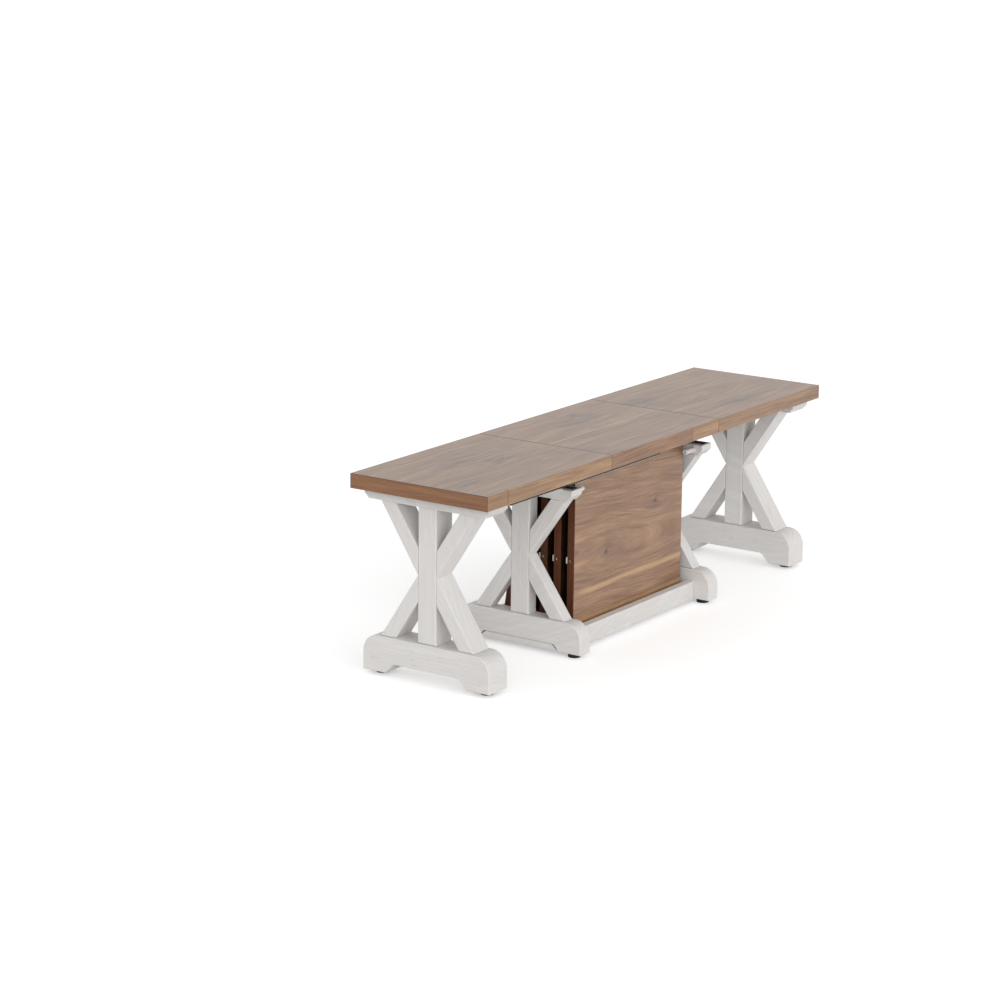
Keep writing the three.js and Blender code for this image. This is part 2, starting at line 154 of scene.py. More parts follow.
class Graph:
    """Adds shader nodes to a tree. An input is another node's output or a plain value."""

    def __init__(self, tree):
        self.tree = tree

    def add(self, kind, inputs=None, **settings):
        made = self.tree.nodes.new(kind)
        for key, value in settings.items():
            setattr(made, key, value)
        for key, value in (inputs or {}).items():
            self.feed(made.inputs[key], value)
        return made

    def feed(self, socket, value):
        if isinstance(value, bpy.types.NodeSocket):
            self.tree.links.new(value, socket)
        else:
            socket.default_value = value

    def group(self, fill, **inputs):
        return self.add("ShaderNodeGroup", inputs, node_tree=node_group(fill)).outputs

    def place(self):
        """The place in the wood, which each mesh carries."""
        return self.add("ShaderNodeAttribute", attribute_name="grain").outputs["Vector"]

    def wear(self):
        """1 where a mesh is rubbed and, on a slide, along the strip of painted highlight at its foot; 0
        elsewhere.
        """
        return self.add("ShaderNodeAttribute", attribute_name="wear").outputs["Fac"]

    def relief(self, height, rise):
        """Small relief for a shader. With a rise below 0 it sinks where the height is great."""
        inputs = {"Height": height, "Distance": rise, "Strength": 1.0}
        return self.add("ShaderNodeBump", inputs).outputs["Normal"]

    def math(self, operation, first, second=0.0):
        return self.add("ShaderNodeMath", {0: first, 1: second}, operation=operation).outputs[0]

    def plus(self, first, second):
        return self.math("ADD", first, second)

    def minus(self, first, second):
        return self.math("SUBTRACT", first, second)

    def times(self, first, second):
        return self.math("MULTIPLY", first, second)

    def blend(self, first, second, share):
        """Two values in one, with this share of the second."""
        return self.plus(self.times(first, 1 - share), self.times(second, share))

    def swing(self, noise, breadth):
        """Noise from 0 to 1 turned into a swing to both sides of 0."""
        return self.times(self.minus(noise, 0.5), breadth)

    def vector(self, operation, first, second):
        return self.add("ShaderNodeVectorMath", {0: first, 1: second}, operation=operation).outputs[0]

    def parts(self, vector):
        return self.add("ShaderNodeSeparateXYZ", {0: vector}).outputs

    def joined(self, x, y, z):
        return self.add("ShaderNodeCombineXYZ", {0: x, 1: y, 2: z}).outputs[0]

    def length(self, x, y, z=0.0):
        inputs = {0: self.joined(x, y, z)}
        return self.add("ShaderNodeVectorMath", inputs, operation="LENGTH").outputs["Value"]

    def noise(self, vector, scale, detail=2.0, roughness=0.5, distortion=0.0):
        inputs = {"Vector": vector, "Scale": scale, "Detail": detail, "Roughness": roughness,
                  "Distortion": distortion}
        return self.add("ShaderNodeTexNoise", inputs).outputs["Fac"]

    def grain(self, place, along, across, detail=2.0, roughness=0.5, distortion=0.0):
        """Noise with so many waves to the metre along the grain, which runs along X, and across it."""
        stretched = self.vector("MULTIPLY", place, (along, across, across))
        return self.noise(stretched, 1.0, detail, roughness, distortion)

    def range(self, value, low, high, to_low=0.0, to_high=1.0, smooth=False):
        inputs = {"Value": value, "From Min": low, "From Max": high, "To Min": to_low, "To Max": to_high}
        shape = "SMOOTHSTEP" if smooth else "LINEAR"
        made = self.add("ShaderNodeMapRange", inputs, clamp=True, interpolation_type=shape)
        return made.outputs["Result"]

    def mix(self, mask, colour, over):
        made = self.add("ShaderNodeMix", data_type="RGBA")
        for index, value in ((0, mask), (6, colour), (7, over)):
            self.feed(made.inputs[index], value)
        return made.outputs[2]

    def layered(self, colour, *layers):
        """Lays colours over a colour, one after another. Each layer is its mask and its colour."""
        for mask, over in layers:
            colour = self.mix(mask, colour, over)
        return colour


# Node groups. Each function takes the group's graph and inputs, and returns its outputs by name.

ORIGIN = (0, 0, 0)


def timber_fibres(graph, given):
    """Fine fibres along X, the open pores between them, and a slow change of tone."""
    place = given["Vector"]
    fine = graph.grain(place, along=4.5, across=400, detail=3.0, roughness=0.62, distortion=0.1)
    coarse = graph.grain(place, along=2.0, across=150, detail=3.0, roughness=0.55, distortion=0.15)
    tone = graph.grain(place, along=1.6, across=7, distortion=0.4)
    dashes = graph.grain(place, along=110, across=2100, detail=1.0)
    return {"Fibres": graph.blend(fine, coarse, 0.32), "Tone": tone,
            "Pores": graph.range(dashes, 0.60, 0.68)}


def edge_rub(graph, given):
    """Where an edge is rubbed: the edge mask, broken up by noise. Cover is how much of it stays whole."""
    softness = 0.16
    patch = graph.noise(given["Vector"], given["Scale"], 4.0, 0.6)
    broken = graph.range(patch, given["Cover"], graph.plus(given["Cover"], softness), 1.0, 0.0)
    return {"Mask": graph.times(broken, given["Edge"])}


def log_figure(graph, given):
    """The rings of a log that a board cuts at a slant: their tone from 0 to 1, and the thin dark veins."""
    drift = graph.swing(graph.grain(given["Vector"], along=1.7, across=6.5), given["Wander"])
    wave = graph.grain(given["Vector"], along=4.5, across=22, detail=3.0)
    ripple = graph.swing(wave, 0.008)
    x, y, z = graph.parts(given["Vector"])
    across = graph.plus(graph.plus(y, drift), ripple)
    across = graph.plus(across, graph.times(x, given["Tilt"]))
    depth = graph.plus(graph.times(x, given["Slant"]), given["Depth"])
    radius = graph.length(0.0, across, graph.plus(depth, z))

    def rings(layer, to_the_metre, change_along, detail=2.0, roughness=0.5):
        place = graph.joined(radius, graph.times(x, change_along), layer)
        return graph.noise(place, to_the_metre, detail, roughness)

    wide = rings(0.0, 38.0, 0.05)
    narrow = rings(5.0, 210.0, 0.035, 3.0, 0.6)
    vein = graph.math("ABSOLUTE", graph.minus(rings(9.0, 105.0, 0.05), 0.5))
    return {"Rings": graph.range(graph.blend(wide, narrow, 0.68), 0.34, 0.66),
            "Veins": graph.range(vein, 0.0, 0.13, 1.0, 0.0)}


def log_knot(graph, given):
    """One knot: the grain bends round it, and it is dark inside with close loops and a smoky halo."""
    bend_reach = 4.0
    bend_share = 0.72
    bend_rise = 0.005
    loops_across = 9.0
    size = given["Size"]
    offset = graph.vector("SUBTRACT", given["Vector"], given["Place"])
    x, y, _ = graph.parts(offset)
    reach = graph.math("DIVIDE", graph.length(graph.times(x, 0.45), y), graph.times(size, bend_reach))
    near = graph.math("EXPONENT", graph.times(graph.times(reach, reach), -1.0))
    push = graph.times(graph.times(near, -bend_share), y)
    shift = graph.joined(0.0, push, graph.times(near, bend_rise))
    uneven = graph.grain(offset, along=90, across=220, detail=3.0, roughness=0.6)
    edge = graph.math("DIVIDE", graph.length(graph.times(x, 0.8), y), size)
    edge = graph.plus(edge, graph.minus(uneven, 0.5))
    core = graph.range(edge, 0.25, 0.85, 1.0, 0.0, smooth=True)
    loops = graph.range(graph.math("SINE", graph.times(edge, loops_across)), -0.3, 1.0)
    loops = graph.times(loops, graph.range(edge, 0.7, 3.0, 0.6, 0.0))
    core = graph.math("MAXIMUM", core, loops)
    smoky = graph.range(graph.grain(offset, along=14, across=52), 0.34, 0.60)
    return {"Vector": graph.vector("ADD", given["Vector"], shift),
            "Core": graph.times(core, given["Dark"]),
            "Halo": graph.times(graph.times(near, smoky), given["Smoke"])}


def long_streak(graph, given):
    """A streak along X with frayed sides, which fades out at its start and its end."""
    bend_breadth = 0.016
    fade = 0.1
    x, y, _ = graph.parts(given["Vector"])
    bend = graph.noise(graph.joined(x, given["Across"], 7.0), 5.0)
    thick = graph.noise(graph.joined(x, given["Across"], 3.0), 7.0)
    frayed = graph.noise(graph.vector("MULTIPLY", given["Vector"], (8, 160, 0)), 1.0, 3.0, 0.6)
    centre = graph.plus(given["Across"], graph.swing(bend, bend_breadth))
    away = graph.math("ABSOLUTE", graph.minus(y, centre))
    half = graph.times(given["Width"], graph.plus(thick, frayed))
    mask = graph.range(graph.math("DIVIDE", away, half), 0.15, 0.85, 1.0, 0.0, smooth=True)
    begun = graph.range(x, given["Start"], graph.plus(given["Start"], fade), smooth=True)
    ended = graph.range(x, graph.minus(given["End"], fade), given["End"], 1.0, 0.0, smooth=True)
    return {"Mask": graph.times(graph.times(mask, begun), ended)}


SOCKETS = {
    timber_fibres: ({"Vector": ORIGIN}, ("Fibres", "Tone", "Pores")),
    edge_rub: ({"Vector": ORIGIN, "Edge": 0.0, "Scale": 30.0, "Cover": 0.5}, ("Mask",)),
    log_figure: ({"Vector": ORIGIN, "Slant": 0.05, "Depth": 0.03, "Tilt": 0.0, "Wander": 0.06},
                 ("Rings", "Veins")),
    log_knot: ({"Vector": ORIGIN, "Place": ORIGIN, "Size": 0.006, "Dark": 1.0, "Smoke": 1.0},
               ("Vector", "Core", "Halo")),
    long_streak: ({"Vector": ORIGIN, "Across": 0.0, "Width": 0.01, "Start": -0.3, "End": 0.3}, ("Mask",)),
}


def node_group(fill):
    """The node group that a function fills, made once. Of its outputs only Vector is a vector."""
    name = fill.__name__
    if name in bpy.data.node_groups:
        return bpy.data.node_groups[name]
    inputs, outputs = SOCKETS[fill]
    tree = bpy.data.node_groups.new(name, "ShaderNodeTree")
    for label, default in inputs.items():
        kind = "NodeSocketVector" if isinstance(default, tuple) else "NodeSocketFloat"
        tree.interface.new_socket(name=label, in_out="INPUT", socket_type=kind).default_value = default
    for label in outputs:
        kind = "NodeSocketVector" if label == "Vector" else "NodeSocketFloat"
        tree.interface.new_socket(name=label, in_out="OUTPUT", socket_type=kind)
    graph = Graph(tree)
    graph.add("NodeGroupOutput", fill(graph, graph.add("NodeGroupInput").outputs))
    return tree


# Materials. Grain and wear are written on each mesh: the place in the wood, and where an edge is rubbed.
# On a slide, wear marks instead the strip of painted highlight along its foot.

SMOKE = (0.12, 0.082, 0.064, 1)
KNOT_HALO = (0.11, 0.080, 0.066, 1)
KNOT_CORE = (0.035, 0.024, 0.022, 1)
COARSE_FIBRE = (0.12, 0.062, 0.042, 1)
PORE = (0.07, 0.036, 0.026, 1)
STAIN_LIGHT = (0.158, 0.050, 0.018, 1)
STAIN_DARK = (0.074, 0.024, 0.010, 1)
STAIN_PATCH = (0.072, 0.031, 0.015, 1)
END_LIGHT = (0.105, 0.054, 0.036, 1)
END_DARK = (0.062, 0.031, 0.021, 1)
END_DOT = (0.03, 0.018, 0.013, 1)
FELT_DARK = (0.012, 0.012, 0.012, 1)
FELT_FLUFF = (0.045, 0.043, 0.041, 1)
FELT_PATCH = (0.03, 0.029, 0.028, 1)


def new_material(name, build, *given):
    """A material. build takes its graph and what is given, and returns the inputs of its shader by name."""
    material = bpy.data.materials.new(name)
    material.use_nodes = True
    graph = Graph(material.node_tree)
    shader = material.node_tree.nodes["Principled BSDF"]
    for label, value in build(graph, *given).items():
        graph.feed(shader.inputs[label], value)
    return material


def tinted(colour, tint=(1, 1, 1)):
    return (*[channel * share for channel, share in zip(colour, tint)], 1)


def paint(graph):
    """White-washed paint with faint brush marks and the timber's figure, rubbed thin on the edges."""
    place = graph.place()
    fibres = graph.group(timber_fibres, Vector=place)
    figure = graph.group(log_figure, Vector=place, Slant=0.3, Wander=0.05)
    rub = graph.group(edge_rub, Vector=place, Edge=graph.wear(), Scale=45.0, Cover=0.46)
    scuff = graph.grain(place, along=24, across=120, detail=3.0, roughness=0.6)
    wash = tinted(timber().wash_colour)
    bare = tinted(timber().bare_colour)
    colour = graph.layered(
        tinted(timber().paint_colour),
        (graph.range(fibres["Fibres"], 0.46, 0.70, 0.0, 0.42), wash),
        (graph.range(fibres["Tone"], 0.35, 0.75, 0.0, 0.14), wash),
        (graph.times(figure["Rings"], 0.16), wash),
        (graph.times(figure["Veins"], 0.22), wash),
        (graph.range(scuff, 0.665, 0.73, 0.0, 0.5), bare),
        (graph.times(rub["Mask"], 0.22), bare))
    return {"Base Color": colour, "Roughness": graph.range(fibres["Fibres"], 0.3, 0.7, 0.46, 0.60),
            "Normal": graph.relief(fibres["Fibres"], 0.25 * MM)}


def walnut(graph, wood):
    """Satin walnut. wood is described at BOARDS; its knots and streaks lie in the board's own place."""
    place = graph.place()
    knots = []
    for x, y, size, dark, smoke in wood.get("knots", ()):
        knot = graph.group(log_knot, Vector=place, Place=(x, y, 0), Size=size, Dark=dark, Smoke=smoke)
        place = knot["Vector"]
        knots.append(knot)
    fibres = graph.group(timber_fibres, Vector=place)
    log = graph.group(log_figure, Vector=place, Slant=wood["slant"], Depth=wood["depth"],
                      Tilt=wood.get("tilt", 0.0), Wander=wood.get("wander", 0.06))
    tint = wood.get("tint", (1, 1, 1))
    figure = wood.get("figure", 1.0)
    deep = tinted(timber().walnut_dark, tint)
    sap = tinted(timber().sapwood, tint)
    lightest = 0.5 - 0.30 / figure
    mottled = graph.range(graph.blend(log["Rings"], fibres["Tone"], 0.4), lightest, 1 - lightest)
    colour = graph.layered(tinted(timber().walnut_light, tint),
                           (mottled, deep), (graph.times(log["Veins"], 0.36 * figure), deep))
    for across, width, start, end, shade in wood.get("streaks", ()):
        streak = graph.group(long_streak, Vector=place, Across=across, Width=width, Start=start, End=end)
        colour = graph.mix(graph.times(streak["Mask"], abs(shade)), colour, sap if shade > 0 else SMOKE)
    colour = graph.layered(
        colour,
        (graph.range(fibres["Fibres"], 0.52, 0.68, 0.0, 0.38), COARSE_FIBRE),
        (graph.times(fibres["Pores"], 0.45), PORE),
        *[(graph.times(knot["Halo"], 0.80), KNOT_HALO) for knot in knots],
        *[(graph.times(knot["Core"], 0.85), KNOT_CORE) for knot in knots])
    return {"Base Color": colour, "Roughness": graph.range(fibres["Fibres"], 0.3, 0.75, 0.27, 0.38),
            "Normal": graph.relief(fibres["Fibres"], -0.10 * MM)}


def stain(graph):
    """The dark stain on the ends and the underside of a board, with the wood's fibres in it."""
    fibres = graph.group(timber_fibres, Vector=graph.place())
    colour = graph.layered(
        STAIN_LIGHT,
        (graph.range(fibres["Fibres"], 0.35, 0.68), STAIN_DARK),
        (graph.range(fibres["Tone"], 0.4, 0.7, 0.0, 0.4), STAIN_PATCH))
    return {"Base Color": colour, "Roughness": graph.range(fibres["Fibres"], 0.3, 0.75, 0.50, 0.66),
            "Specular IOR Level": 0.25, "Normal": graph.relief(fibres["Fibres"], -0.10 * MM)}


def end_grain(graph):
    """Walnut cut across: dark, with fine dots and faint rings."""
    place = graph.place()
    dots = graph.grain(place, along=900, across=900, roughness=0.6)
    log = graph.group(log_figure, Vector=place, Slant=1.0, Depth=0.05)
    speckled = graph.range(dots, 0.5, 0.7, 0.0, 0.5)
    colour = graph.layered(END_LIGHT, (log["Rings"], END_DARK), (speckled, END_DOT))
    return {"Base Color": colour, "Roughness": 0.62, "Normal": graph.relief(dots, 0.1 * MM)}


def coated_metal(graph):
    """Near-black slides, part coat, part painted shade; bright metal at the foot is a painted highlight."""
    place = graph.place()
    # The wear attribute marks the foot strip, whose bright metal is a painted highlight.
    rub = graph.group(edge_rub, Vector=place, Edge=graph.wear(), Scale=60.0, Cover=0.66)["Mask"]
    drawn = graph.grain(place, along=6, across=900, roughness=0.6)
    colour = graph.mix(rub, tinted(fittings().slide_colour), tinted(fittings().metal_colour))
    return {"Base Color": colour, "Roughness": graph.range(drawn, 0.3, 0.7, 0.40, 0.54),
            "Metallic": graph.times(rub, 0.9), "Normal": graph.relief(drawn, 0.05 * MM)}


def bright_metal(graph):
    """Zinc plate with fine rubbing."""
    drawn = graph.grain(graph.place(), along=30, across=1400, roughness=0.6)
    metal = fittings().metal_colour
    colour = graph.mix(drawn, tinted(metal), tinted(metal, (0.8, 0.8, 0.8)))
    return {"Base Color": colour, "Roughness": graph.range(drawn, 0.3, 0.7, 0.26, 0.40),
            "Metallic": 0.2, "Normal": graph.relief(drawn, 0.03 * MM)}


def black_plastic(graph):
    """Moulded black plastic with a fine spark texture."""
    place = graph.place()
    grit = graph.noise(place, 2600.0, 3.0, 0.6)
    dusty = graph.range(graph.noise(place, 60.0, 3.0, 0.6), 0.45, 0.75)
    plastic = fittings().plastic_colour
    colour = graph.mix(dusty, tinted(plastic), tinted(plastic, (2.4, 2.4, 2.4)))
    return {"Base Color": colour, "Roughness": graph.range(grit, 0.3, 0.7, 0.50, 0.66),
            "Specular IOR Level": 0.25, "Normal": graph.relief(grit, 0.05 * MM)}


def felt(graph):
    """Dense dark felt. It has no grain of its own, so it takes its place from the object."""
    place = graph.add("ShaderNodeTexCoord").outputs["Object"]
    fluff = graph.noise(place, 900.0, 4.0, 0.7, 1.2)
    patchy = graph.range(graph.noise(place, 40.0), 0.45, 0.7, 0.0, 0.4)
    colour = graph.layered(FELT_DARK, (fluff, FELT_FLUFF), (patchy, FELT_PATCH))
    return {"Base Color": colour, "Roughness": 0.95, "Normal": graph.relief(fluff, 0.3 * MM)}


# Meshes. Creases are in degrees. GRAIN_SPREAD is how far off a piece's wood pattern may start.

GRAIN_SPREAD = 40
CREASE = 40
TURNED_CREASE = 50
LEAST_CORNER = math.radians(20)
NARROW_CHAMFER = 3.2 * MM
CLOSE = 0.01 * MM
ROUND_SIDES = 24


def grain_offset(name, depth=GRAIN_SPREAD):
    """A steady shift of the wood pattern for each piece. With no shift in depth the grain runs straight."""
    dice = random.Random(name)
    return Vector([dice.uniform(-spread, spread) for spread in (GRAIN_SPREAD, GRAIN_SPREAD, depth)])


def shifted(name, axes=Matrix.Identity(3)):
    """The place in the wood for mark_grain: along these axes, with the piece's own shift."""
    shift = grain_offset(name)
    return lambda polygon, point: axes @ point + shift


def smooth(mesh, sharp_degrees=CREASE):
    mesh.polygons.foreach_set("use_smooth", [True] * len(mesh.polygons))
    mesh.set_sharp_from_angle(angle=math.radians(sharp_degrees))
    mesh.update()


def mark_grain(mesh, place_of):
    """Writes each corner's place in the wood. place_of takes a polygon and a point."""
    layer = mesh.attributes.new("grain", "FLOAT_VECTOR", "CORNER")
    for polygon in mesh.polygons:
        for corner in polygon.loop_indices:
            point = mesh.vertices[mesh.loops[corner].vertex_index].co
            layer.data[corner].vector = place_of(polygon, point)


def mark_wear(shape, rounded):
    """Marks the rounded edges, and the narrow chamfers between two of them, which are rubbed first."""
    worn = shape.faces.layers.float.new("wear")
    for face in shape.faces:
        longest = sorted(face.edges, key=lambda edge: edge.calc_length())[-2:]
        beside = [any(other in rounded for other in edge.link_faces if other is not face)
                  for edge in longest]
        is_chamfer = all(beside) and face.calc_area() < NARROW_CHAMFER * longest[-1].calc_length()
        face[worn] = 1.0 if face in rounded or is_chamfer else 0.0


def wear_the_foot(shape, level):
    """Cuts the faces at a level, and marks only what lies below it, for a painted highlight."""
    everything = shape.verts[:] + shape.edges[:] + shape.faces[:]
    bmesh.ops.bisect_plane(shape, geom=everything, dist=0.001 * MM, plane_co=(0, 0, level),
                           plane_no=(0, 0, 1))
    worn = shape.faces.layers.float["wear"]
    for face in shape.faces:
        face[worn] = 1.0 if face.calc_center_median().z < level else 0.0


def added_object(name, data):
    made = bpy.data.objects.new(name, data)
    bpy.context.scene.collection.objects.link(made)
    return made


def finished_object(name, shape, materials, sharp_degrees=CREASE):
    mesh = bpy.data.meshes.new(name)
    shape.to_mesh(mesh)
    shape.free()
    for material in materials:
        mesh.materials.append(material)
    smooth(mesh, sharp_degrees)
    made = added_object(name, mesh)
    made.modifiers.new("even_shading", "WEIGHTED_NORMAL").keep_sharp = True
    return made


def solid_copy(node):
    """A clean copy of a CAD node's solid, with its flat faces whole again."""
    shape = bmesh.new()
    shape.from_mesh(frame["nodes"][node].data)
    bmesh.ops.remove_doubles(shape, verts=shape.verts, dist=0.005 * MM)
    bmesh.ops.dissolve_limit(shape, angle_limit=math.radians(1), verts=shape.verts, edges=shape.edges)
    return shape


def round_edges(shape, offset, segments=2, chosen=None):
    """Rounds the corner edges, or those of them that chosen picks. Returns the new faces."""
    corners = [edge for edge in shape.edges if len(edge.link_faces) == 2
               and edge.calc_face_angle(0) > LEAST_CORNER and (chosen is None or chosen(edge))]
    made = bmesh.ops.bevel(shape, geom=corners, offset=offset, segments=segments, profile=0.5,
                           affect="EDGES", clamp_overlap=True)
    return set(made["faces"])


def dressed(node, suffix, material, offset, highlight_strip_height=None):
    """Stands for a CAD node: its solid with rounded edges, and grain along its longest edge.

    Where a strip height is given, the lowest strip of that height is marked for a painted highlight,
    and the rounded edges aren't.
    """
    shape = solid_copy(node)
    longest = max(shape.edges, key=lambda edge: edge.calc_length())
    along = (longest.verts[1].co - longest.verts[0].co).normalized()
    side = along.cross(Vector((1, 0, 0)) if abs(along.x) < 0.5 else Vector((0, 0, 1))).normalized()
    axes = Matrix((along, side, along.cross(side)))
    mark_wear(shape, round_edges(shape, offset))
    if highlight_strip_height:
        wear_the_foot(shape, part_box(node)[0].z + highlight_strip_height)
    made = finished_object(node + suffix, shape, [material])
    mark_grain(made.data, shifted(node, axes))
    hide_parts(node)
    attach(made, body_of(node))


def turned(name, profile, sides, material, turn=Matrix.Identity(4)):
    """A round piece from a profile of (radius, height), turned about Z and then laid over by turn."""
    shape = bmesh.new()
    angles = [2 * math.pi * step / sides for step in range(sides)]
    rings = []
    for radius, height in profile:
        if radius == 0:
            rings.append([shape.verts.new((0, 0, height))] * sides)
        else:
            rings.append([shape.verts.new((radius * math.cos(angle), radius * math.sin(angle), height))
                          for angle in angles])
    for low, high in zip(rings, rings[1:]):
        for step in range(sides):
            after = (step + 1) % sides
            corners = dict.fromkeys((low[step], low[after], high[after], high[step]))
            shape.faces.new(list(corners))
    bmesh.ops.recalc_face_normals(shape, faces=shape.faces)
    bmesh.ops.transform(shape, matrix=turn, verts=shape.verts)
    made = finished_object(name, shape, [material], TURNED_CREASE)
    mark_grain(made.data, shifted(name))
    return made


def cuboid(shape, low, high):
    """Adds a box to a shape, from its lowest corner to its highest."""
    made = bmesh.ops.create_cube(shape, size=1)
    matrix = Matrix.Translation((high + low) / 2) @ Matrix.Diagonal((*(high - low), 1))
    bmesh.ops.transform(shape, matrix=matrix, verts=made["verts"])


# Trestles and tray

def timber_nodes():
    braces = [f"{level}_brace_{side}" for level in ("upper", "lower") for side in SIDES]
    members = ["foot", "post", "rail", *braces]
    nodes = [f"{trestle}_{member}" for trestle in TRESTLES for member in members]
    return [*nodes, "tray_board", *[side + "_stretcher" for side in SIDES]]


class BENCH_OT_trestles(bpy.types.Operator):
    """Finishes the painted trestles, the stretchers and the tray board"""
    bl_idname = "bench.trestles"
    bl_label = "Paint the trestles"

    def execute(self, context):
        painted = new_material("painted_timber", paint)
        for node in timber_nodes():
            dressed(node, "_timber", painted, timber().timber_edge)
        return {"FINISHED"}


# Seat boards, made flat with the top face at Z = 0 and then put in place

# Each board's wood. outer is the end without a neighbour: -1 left, 1 right, 0 none. tint colours the
# wood; on the seat-top boards it also paints sheen, and on stored leaves 2 and 3 it paints shade. figure
# is how strongly its rings show. The log's heart lies as deep as depth under the middle of the face, and
# deeper by slant for each metre to the right. tilt turns the rings across the board and wander is how far
# they sway. Knots are (x, y, size, how dark, how smoky) and streaks (across, width, start, end, shade),
# from the middle of the board; a shade below 0 is a smoky streak. joints cut the front band, and
# band_tints colour its strips from left to right.
GOLD = (1.05, 1.08, 0.99)
RED = (0.90, 0.86, 0.84)
TAN = (0.99, 0.99, 0.95)
SILVER = (0.98, 1.02, 1.05)
# Painted sheen: the next tint makes the seat-top boards greyer and cooler than the stored leaves.
PAINTED_SHEEN_GREY = (0.90, 0.98, 1.08)
# Painted shade: the next tint darkens stored leaves 2 and 3 nearly to black, for the slots between leaves.
PAINTED_SHADE_TINT = (0.05, 0.05, 0.06)
BOARDS = {
    "left_seat_panel": {
        "outer": -1, "tint": PAINTED_SHEEN_GREY, "figure": 0.8, "slant": 0.035, "depth": 0.02,
        "joints": [-0.168], "band_tints": [GOLD, GOLD],
        "knots": [(0.0725, -0.001, 0.007, 0.75, 1.0), (-0.0205, 0.056, 0.008, 0.35, 1.0),
                  (0.0455, 0.108, 0.007, 0.0, 0.8), (0.1005, 0.059, 0.006, 0.0, 0.8),
                  (-0.170, -0.075, 0.008, 0.0, 0.8), (0.0815, -0.078, 0.005, 0.0, 0.5)],
        "streaks": [(0.128, 0.004, -0.10, 0.24, 0.3)],
    },
    "fitted_leaf": {
        "outer": 0, "tint": PAINTED_SHEEN_GREY, "figure": 0.8, "slant": -0.03, "depth": 0.03,
        "joints": [0.1156], "band_tints": [RED, TAN],
        "knots": [(0.059, 0.113, 0.006, 1.0, 1.0), (0.062, 0.074, 0.007, 0.0, 1.0),
                  (-0.024, 0.070, 0.007, 0.0, 1.0), (-0.225, -0.115, 0.006, 0.7, 0.9),
                  (-0.205, -0.172, 0.005, 0.0, 0.6)],
        "streaks": [(-0.010, 0.0035, -0.30, 0.32, 0.7), (-0.061, 0.003, -0.30, -0.08, 0.4)],
    },
    "right_seat_panel": {
        "outer": 1, "tint": PAINTED_SHEEN_GREY, "figure": 0.8, "slant": 0.045, "depth": 0.035,
        "joints": [], "band_tints": [SILVER],
        "knots": [(-0.0365, -0.107, 0.006, 0.8, 1.0), (-0.2185, 0.038, 0.008, 0.0, 1.0),
                  (-0.20, 0.068, 0.010, 0.0, 0.9)],
        "streaks": [(0.062, 0.012, -0.30, 0.14, -0.5), (-0.112, 0.013, -0.27, 0.19, -0.55),
                    (-0.075, 0.004, -0.15, 0.20, 0.35)],
    },
    "stored_leaf_1": {
        "outer": 0, "slant": 0.03, "depth": 0.05, "tilt": 0.06, "joints": [0.12], "band_tints": [TAN, RED],
        "knots": [(0.112, 0.071, 0.008, 0.9, 0.35), (-0.1005, -0.0102, 0.009, 0.9, 0.45)],
        "streaks": [(-0.083, 0.011, -0.27, 0.45, 0.66), (-0.150, 0.008, -0.40, 0.40, 0.5)],
    },
    "stored_leaf_2": {
        "outer": 0, "tint": PAINTED_SHADE_TINT, "slant": -0.04, "depth": 0.02,
        "joints": [-0.1], "band_tints": [RED, TAN],
        "knots": [(-0.10, 0.05, 0.006, 0.8, 0.8)], "streaks": [(0.06, 0.008, -0.10, 0.40, 0.6)],
    },
    "stored_leaf_3": {
        "outer": 0, "tint": PAINTED_SHADE_TINT, "slant": 0.03, "depth": 0.04,
        "joints": [0.08], "band_tints": [TAN, RED],
        "knots": [(0.12, -0.06, 0.006, 0.8, 0.8)], "streaks": [(-0.12, 0.008, -0.40, 0.10, 0.6)],
    },
    "stored_leaf_4": {
        "outer": 0, "slant": 0.06, "depth": 0.02, "joints": [-0.06], "band_tints": [TAN, RED],
        "knots": [(-0.14, 0.02, 0.007, 0.9, 0.8), (0.08, -0.09, 0.006, 0.8, 0.8)],
        "streaks": [(0.11, 0.010, -0.40, 0.15, 0.6)],
    },
}
BAND_WOOD = {"slant": 0.05, "depth": 0.05, "wander": 0.03}
END_BAND_WOOD = {**BAND_WOOD, "tint": (0.78, 0.62, 0.46), "figure": 0.8}
SOCKET_OFFSET = 5 * MM
JOINT_GAP = 0.12 * MM

# Where each material stands in the list that a board's pieces share
FACE, STAIN, END_BAND, END_GRAIN, FIRST_BAND = range(5)


def board_size(name):
    """Length, depth and edge height of a board. The stored leaves have the fitted leaf's."""
    low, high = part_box(name if name.endswith("panel") else "fitted_leaf")
    return high - low


def board_place(name):
    """Puts a flat board where its CAD node is."""
    low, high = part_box(name)
    centre = (low + high) / 2
    if not name.startswith("stored"):
        return Matrix.Translation((centre.x, centre.y, high.z))
    is_upright = high.y - low.y < 1.5 * board_size(name).z
    if is_upright:
        return Matrix.Translation((centre.x, low.y, centre.z)) @ Matrix.Rotation(math.pi / 2, 4, "X")
    return leaning_place(name)


def leaning_place(name):
    """The last leaf stands on its lower back edge and leans to the front, with its top face to the back."""
    low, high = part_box(name)
    size = board_size(name)
    points = [vert.co for vert in frame["nodes"][name].data.vertices]
    foot = min(points, key=lambda point: point.z)
    head = min(points, key=lambda point: point.y)
    lean = math.atan2(foot.y - head.y, head.z - foot.z)
    turn = Matrix.Rotation(lean - math.pi / 2, 4, "X")
    made = Matrix.Translation(((low.x + high.x) / 2, 0, 0)) @ turn
    corners = [made @ Vector((0, y, z)) for y in (-size.y / 2, size.y / 2) for z in (0, -size.z)]
    shift = Vector((0, low.y - min(c.y for c in corners), low.z - min(c.z for c in corners)))
    return Matrix.Translation(shift) @ made


def ends_of(name):
    """The ends of a board that meet another board."""
    return [end for end in (-1, 1) if end != BOARDS[name]["outer"]]


